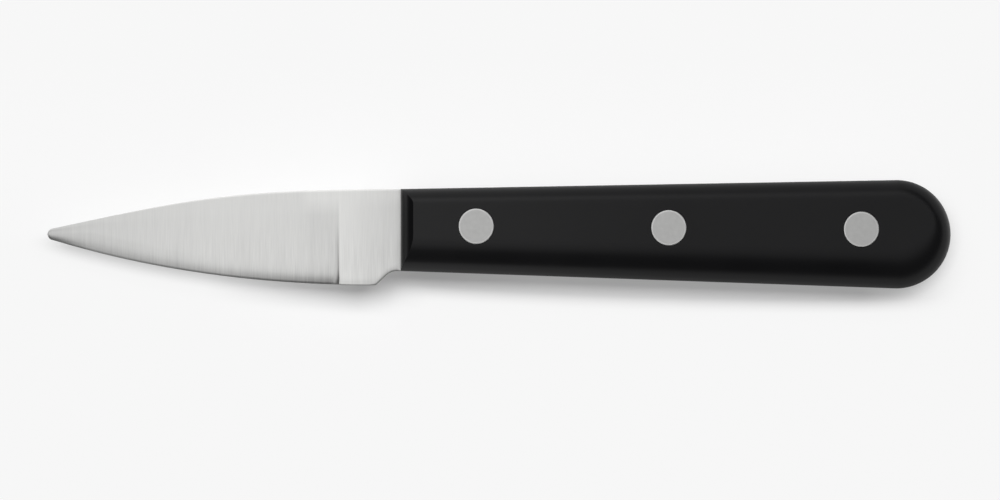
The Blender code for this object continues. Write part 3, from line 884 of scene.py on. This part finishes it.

# %% [markdown]
# ## Rivets
#
# A cutlery rivet comes in two halves: a head with a hollow shank, and a head with a pin that is pressed into
# it. Both are turned parts, so each is drawn from a circle: extruded for the head, inset for the shank, and
# inset and pushed back in for the bore. The head's rim is eased by a bevel, and an attribute marks the ring
# that gets the painted highlight. Each half is modelled once and copied to the other two places.

# %% Rivet halves
BORE_RADIUS = 1.5 * MM
PIN_RADIUS = 1.45 * MM
SHANK_PLAY = 0.02 * MM           # between the shank and its hole
SHANK_END_Z = -3.6 * MM
EASED_RIM = 0.10 * MM
PAINTED_RIM_WIDTH = 0.26 * MM            # width of the painted highlight at the rim


def rivet_half(name, shank_radius, bore_radius):
    """One half with its head upwards, centred on the axis and on the middle of the steel."""
    bpy.ops.object.select_all(action="DESELECT")
    bpy.ops.mesh.primitive_circle_add(vertices=CIRCLE_POINTS, radius=HEAD_RADIUS, fill_type="NGON",
                                      location=(0, 0, OUTER_Z))
    half = start_piece(name)
    bpy.ops.mesh.select_all(action="SELECT")
    bpy.ops.mesh.extrude_region_move(TRANSFORM_OT_translate={"value": (0, 0, -HEAD_THICKNESS)})
    bpy.ops.mesh.inset(thickness=HEAD_RADIUS - shank_radius, depth=0)
    bpy.ops.mesh.extrude_region_move(
        TRANSFORM_OT_translate={"value": (0, 0, SHANK_END_Z - OUTER_Z + HEAD_THICKNESS)})
    if bore_radius:
        bpy.ops.mesh.inset(thickness=shank_radius - bore_radius, depth=0)
        bpy.ops.mesh.extrude_region_move(
            TRANSFORM_OT_translate={"value": (0, 0, OUTER_Z - HEAD_THICKNESS - SHANK_END_Z)})
    bpy.ops.mesh.select_all(action="SELECT")
    bpy.ops.mesh.normals_make_consistent(inside=False)
    pick(lambda edge: all(v.co.z > OUTER_Z - NEAR and v.co.xy.length > HEAD_RADIUS - NEAR
                          for v in edge.verts), "edges")
    bpy.ops.mesh.bevel(offset=EASED_RIM, segments=4, affect="EDGES")
    pick(lambda face: len(face.verts) > 4 and face.normal.z > 0.9
         and face.calc_center_median().z > OUTER_Z - NEAR, "faces")
    bpy.ops.mesh.inset(thickness=PAINTED_RIM_WIDTH / 2, depth=0)
    bpy.ops.mesh.inset(thickness=PAINTED_RIM_WIDTH / 2, depth=0)
    bpy.ops.object.mode_set(mode="OBJECT")
    # where the painted rim highlight goes: 1 at the rim, 0 inside
    painted_rim_highlight = half.data.attributes.new("painted_rim_highlight", "FLOAT", "POINT")
    inner = HEAD_RADIUS - EASED_RIM - PAINTED_RIM_WIDTH
    for vertex in half.data.vertices:
        share = (vertex.co.xy.length - inner) / PAINTED_RIM_WIDTH
        painted_rim_highlight.data[vertex.index].value = min(1.0, max(0.0, share))
    return half


hollow_half = rivet_half("hollow_half", SHANK_RADIUS - SHANK_PLAY, BORE_RADIUS)
pin_half = rivet_half("pin_half", PIN_RADIUS, 0)
rivet_pieces = []
for rivet, (x, y) in zip(RIVETS, rivet_places):
    for pattern, part, turned_over in ((hollow_half, "socket", False), (pin_half, "pin", True)):
        piece = copy_of(pattern, f"{rivet}_{part}_half")
        move_mesh(piece, (x, y, MIDDLE_Z), mirror_z=turned_over)
        smooth(piece, 35)
        rivet_pieces.append((piece, f"{rivet}_rivet_{part}"))
for pattern in (hollow_half, pin_half):
    bpy.data.objects.remove(pattern)
print("rivet halves:", ", ".join(piece.name for piece, _ in rivet_pieces))

# %% [markdown]
# ## Putting the finishes on, and riding the frame
#
# Every new piece takes its material, stands for the CAD node in whose place it is, and rides on the frame's
# one body, since nothing on this knife moves.

# %% Dress the frame
dressed = [(blade, "blade_with_tang", steel, "blade_steel"),
           (left_scale, "left_scale", acetal, "handle_plastic"),
           (right_scale, "right_scale", acetal, "handle_plastic")]
dressed += [(piece, node, rivet_metal, "rivet_steel") for piece, node in rivet_pieces]
for piece, node, finish, slot in dressed:
    piece.data.materials.clear()
    piece.data.materials.append(finish)
    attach(piece, "root")
    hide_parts(node)
    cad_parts[node].data.materials.clear()
    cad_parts[node].data.materials.append(finish)
print("dressed:", len(dressed), "pieces")

# %% [markdown]
# ## Camera
#
# The knife is photographed from straight above. A short lens would show the raised rivets too far out, so
# the lens is long and the camera stands well back. Its distance makes the frame take in 169.35 mm halfway
# between the middle of the steel and the top of the handle.

# %% Camera
IMAGE_WIDTH = 169.35 * MM
VIEW_CENTRE = (0.195 * MM, -2.655 * MM)
LENS = 600.0             # in millimetres, as the sensor
SENSOR = 36.0
camera_z = MIDDLE_Z + OUTER_Z / 2 + IMAGE_WIDTH * LENS / SENSOR
bpy.ops.object.camera_add(location=(*VIEW_CENTRE, camera_z))
camera = bpy.context.object
camera.name = "camera"
camera.data.lens = LENS
camera.data.sensor_width = SENSOR
camera.data.clip_end = 20.0
bpy.context.scene.camera = camera
print(f"camera {camera_z:.2f} m above the table")

# %% [markdown]
# ## Paper
#
# The background is pale matt paper, lit from above, which also glows with a painted light of its own that
# lightens and shapes the shadow. It is seen by the camera and in reflections only, so it adds no light to the
# knife. It is weakest under the handle, where the photograph's shadow is dark, stronger beside the blade and
# the butt, and strongest beyond the shadow, where it rises over a narrow rim. The rim follows the blade's
# edge, the belly and the butt, which three arcs stand for. Where the paper glows more, its colour is darker
# by as much, so in full light the whole sheet is one pale tone.

# %% Values of the paper, and its own light
GLOW_FRONT = 0.23                 # under the handle's front
GLOW_MIDDLE = 0.30                # under the rest of the handle
GLOW_ENDS = 0.52                  # beside the blade and the butt
GLOW_CLEAR = 0.88                 # beyond the shadow
RIM_WIDTH = 2.4 * MM              # over which it rises to that
FULL_LIGHT = 0.990                # what the lamp gives on a white sheet
SHEET_TONE = 0.930                # the tone of the lit sheet, glow and lamp together
EDGE_ARC = (-20.7 * MM, 188.0 * MM, 0.0)    # centre of the rim's arc beside the blade
EDGE_ARC_RADIUS = 197.0 * MM
BELLY_ARC = (52.0 * MM, 889.0 * MM, 0.0)    # and of that beside the handle
BELLY_ARC_RADIUS = 900.1 * MM
# Places along the knife between which one glow goes over into the next
FRONT_TO_MIDDLE = (-18 * MM, 6 * MM)
HEEL_TO_BELLY = (-19 * MM, -12 * MM)
HANDLE_TO_BLADE = (-24 * MM, -50 * MM)
HANDLE_TO_BUTT = (62 * MM, 80 * MM)
FAR_ASIDE = (16 * MM, 30 * MM)    # distances from the centre line, beyond which the sheet is even


def glow_past(tree, place, centre, radius, links=None):
    """The paper's own light at an arc of the rim: it rises with the distance from the arc's centre."""
    away = add_node(tree, "ShaderNodeVectorMath", {"operation": "DISTANCE", 1: centre}, {0: place})
    rising = add_node(
        tree, "ShaderNodeMapRange",
        {"From Min": radius, "From Max": radius + RIM_WIDTH, "To Min": GLOW_ENDS, "To Max": GLOW_CLEAR},
        {"Value": away.outputs["Value"], **(links or {})},
    )
    return rising.outputs["Result"]


# %% Paper
def pale_paper():
    """Matt paper with its own light, which only the camera and reflections see."""
    made, tree, place = start_material("pale_matt_paper")
    xyz = add_node(tree, "ShaderNodeSeparateXYZ", links={"Vector": place})
    glow = add_node(
        tree, "ShaderNodeMapRange",
        {"From Min": FRONT_TO_MIDDLE[0], "From Max": FRONT_TO_MIDDLE[1],
         "To Min": GLOW_FRONT, "To Max": GLOW_MIDDLE},
        {"Value": xyz.outputs["X"]},
    ).outputs["Result"]
    neighbours = (
        (HEEL_TO_BELLY, glow_past(tree, place, BELLY_ARC, BELLY_ARC_RADIUS, {"To Min": glow})),
        (HANDLE_TO_BLADE, glow_past(tree, place, EDGE_ARC, EDGE_ARC_RADIUS)),
        (HANDLE_TO_BUTT, glow_past(tree, place, (BUTT_CENTRE_X, 0.0, 0.0), BUTT_RADIUS)),
    )
    for places, neighbour in neighbours:
        glow = add_node(tree, "ShaderNodeMapRange", {"From Min": places[0], "From Max": places[1]},
                        {"Value": xyz.outputs["X"], "To Min": glow, "To Max": neighbour},
                        ).outputs["Result"]
    aside = add_node(tree, "ShaderNodeMath", {"operation": "ABSOLUTE"}, {0: xyz.outputs["Y"]})
    glow = add_node(tree, "ShaderNodeMapRange",
                    {"From Min": FAR_ASIDE[0], "From Max": FAR_ASIDE[1], "To Max": GLOW_CLEAR},
                    {"Value": aside.outputs[0], "To Min": glow}).outputs["Result"]
    sheet = add_node(tree, "ShaderNodeMath",
                     {"operation": "MULTIPLY_ADD", 1: -1 / FULL_LIGHT, 2: SHEET_TONE / FULL_LIGHT},
                     {0: glow})
    rays = add_node(tree, "ShaderNodeLightPath")
    seen = add_node(tree, "ShaderNodeMath", {"operation": "MAXIMUM"},
                    {0: rays.outputs["Is Camera Ray"], 1: rays.outputs["Is Glossy Ray"]})
    own_light = add_node(tree, "ShaderNodeMath", {"operation": "MULTIPLY"}, {0: seen.outputs[0], 1: glow})
    finish_material(
        tree,
        {"Roughness": 0.9, "Specular IOR Level": 0.0, "Emission Color": (1.0, 1.0, 1.0, 1.0)},
        {"Base Color": sheet.outputs[0], "Emission Strength": own_light.outputs[0]},
    )
    return made


bpy.ops.mesh.primitive_plane_add(size=6.0, location=(0, 0, 0))
floor = bpy.context.object
floor.name = "floor"
floor.data.materials.append(pale_paper())
floor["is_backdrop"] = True
print("material:", floor.data.materials[0].name)

# %% [markdown]
# ## Light
#
# The photographer's key is a soft box overhead, a little behind the knife and to its left: its short soft
# shadow falls towards the viewer. What shapes metal and black plastic, though, is what they mirror: a broad
# bright panel straight above, brightest in its rear part, which fades out before it reaches the viewer's
# side, a plain pale wall behind the knife, pale low walls beside it, and a dark room above those. So the
# lamp lights the table and stays out of the reflections, the panel is seen in reflections only, and the room
# gives hardly any light of its own.

# %% Key light
KEY_PLACE = (-0.06, 0.84, 2.0)
KEY_SIZE = (2.4, 1.2)
KEY_POWER = 59           # in watts
bpy.ops.object.light_add(type="AREA", location=KEY_PLACE)
key = bpy.context.object
key.name = "key_soft_box"
key.data.shape = "RECTANGLE"
key.data.size, key.data.size_y = KEY_SIZE
key.data.energy = KEY_POWER
key.visible_glossy = False
key.visible_camera = False
print("key light:", KEY_POWER, "W")

# %% The panel overhead, seen in reflections only
CEILING = 1.08           # brightness of the panel above the knife
CEILING_REAR = 1.60      # and of its rear part
BACK_WALL = 0.90
DARK_ROOM = 0.07
PANEL_PLACE = (-0.28, 0.10, 0.6)
PANEL_SIZE = (2.0, 2.2, 1.0)
# Axis, and the places on the panel from which it is dark and from which it is bright
FADES = (("Y", -0.29, -0.15), ("X", 0.34, 0.04), ("X", -0.65, -0.28))
REAR_RISES = (0.08, 0.42)    # places in Y between which the panel grows brighter
REAR_FALLS = (0.45, 0.75)    # and goes over into the back wall
bpy.ops.object.select_all(action="DESELECT")
bpy.ops.mesh.primitive_plane_add(size=1.0, location=PANEL_PLACE)
overhead = bpy.context.object
overhead.name = "overhead_panel"
overhead.scale = PANEL_SIZE
bpy.ops.object.transform_apply(location=True, rotation=True, scale=True)
overhead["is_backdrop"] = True
overhead.visible_camera = False
overhead.visible_diffuse = False
overhead.visible_shadow = False
overhead.visible_transmission = False
panel_light, tree, place = start_material("overhead_panel_light")
xyz = add_node(tree, "ShaderNodeSeparateXYZ", links={"Vector": place})
fades = [
    add_node(tree, "ShaderNodeMapRange",
             {"interpolation_type": "SMOOTHSTEP", "From Min": dark, "From Max": bright},
             {"Value": xyz.outputs[axis]}).outputs["Result"]
    for axis, dark, bright in FADES
]
fade = add_node(tree, "ShaderNodeMath", {"operation": "MULTIPLY"}, {0: fades[0], 1: fades[1]})
fade = add_node(tree, "ShaderNodeMath", {"operation": "MULTIPLY"}, {0: fade.outputs[0], 1: fades[2]})
rise = add_node(
    tree, "ShaderNodeMapRange",
    {"From Min": REAR_RISES[0], "From Max": REAR_RISES[1], "To Min": CEILING, "To Max": CEILING_REAR},
    {"Value": xyz.outputs["Y"]},
)
fall = add_node(tree, "ShaderNodeMapRange",
                {"From Min": REAR_FALLS[0], "From Max": REAR_FALLS[1], "To Max": BACK_WALL},
                {"Value": xyz.outputs["Y"], "To Min": rise.outputs["Result"]})
level = add_node(tree, "ShaderNodeMapRange", {"To Min": DARK_ROOM},
                 {"Value": fade.outputs[0], "To Max": fall.outputs["Result"]})
panel_glow = add_node(tree, "ShaderNodeEmission", {"Color": (1.0, 1.0, 1.0, 1.0)},
                      {"Strength": level.outputs["Result"]})
add_node(tree, "ShaderNodeOutputMaterial", links={"Surface": panel_glow.outputs["Emission"]})
overhead.data.materials.append(panel_light)
print("panel:", overhead.name)

# %% The room in the reflections
LEFT_WALL = 0.40         # brightness of the low wall on the left; the other is as bright as the panel
AMBIENT = 0.10           # what the room gives as light
BACKGROUND_TONE = 0.93
world = bpy.data.worlds.new("studio")
bpy.context.scene.world = world
world.use_nodes = True
tree = world.node_tree
tree.nodes.clear()
direction = add_node(tree, "ShaderNodeTexCoord")
xyz = add_node(tree, "ShaderNodeSeparateXYZ", links={"Vector": direction.outputs["Generated"]})
low_walls = add_node(
    tree, "ShaderNodeMapRange",
    {"From Min": -0.9, "From Max": -0.2, "To Min": LEFT_WALL, "To Max": CEILING},
    {"Value": xyz.outputs["X"]},
)
sides = add_node(
    tree, "ShaderNodeMapRange",
    {"interpolation_type": "SMOOTHSTEP", "From Min": 0.48, "From Max": 0.24, "To Min": DARK_ROOM},
    {"Value": xyz.outputs["Z"], "To Max": low_walls.outputs["Result"]},
)
behind = add_node(
    tree, "ShaderNodeMapRange",
    {"interpolation_type": "SMOOTHSTEP", "From Min": 0.1, "From Max": 0.4, "To Max": BACK_WALL},
    {"Value": xyz.outputs["Y"], "To Min": sides.outputs["Result"]},
)
rays = add_node(tree, "ShaderNodeLightPath")
lit = add_node(tree, "ShaderNodeMix", {"A": AMBIENT},
               {"Factor": rays.outputs["Is Glossy Ray"], "B": behind.outputs["Result"]})
shown = add_node(tree, "ShaderNodeMix", {"B": BACKGROUND_TONE},
                 {"Factor": rays.outputs["Is Camera Ray"], "A": lit.outputs["Result"]})
background = add_node(tree, "ShaderNodeBackground", {"Color": (1.0, 1.0, 1.0, 1.0)},
                      {"Strength": shown.outputs["Result"]})
add_node(tree, "ShaderNodeOutputWorld", links={"Surface": background.outputs["Background"]})
bpy.context.scene.view_settings.view_transform = "Standard"
print("world:", world.name)

# %% [markdown]
# ## The two boxes
#
# The dressed knife must not be bigger than the CAD model, so both boxes are printed side by side.

# %% Sizes, and the end
new_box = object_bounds()
for name, corners in (("CAD", cad_box), ("dressed", new_box)):
    print(name, [[round(1000 * value, 3) for value in corner] for corner in corners])
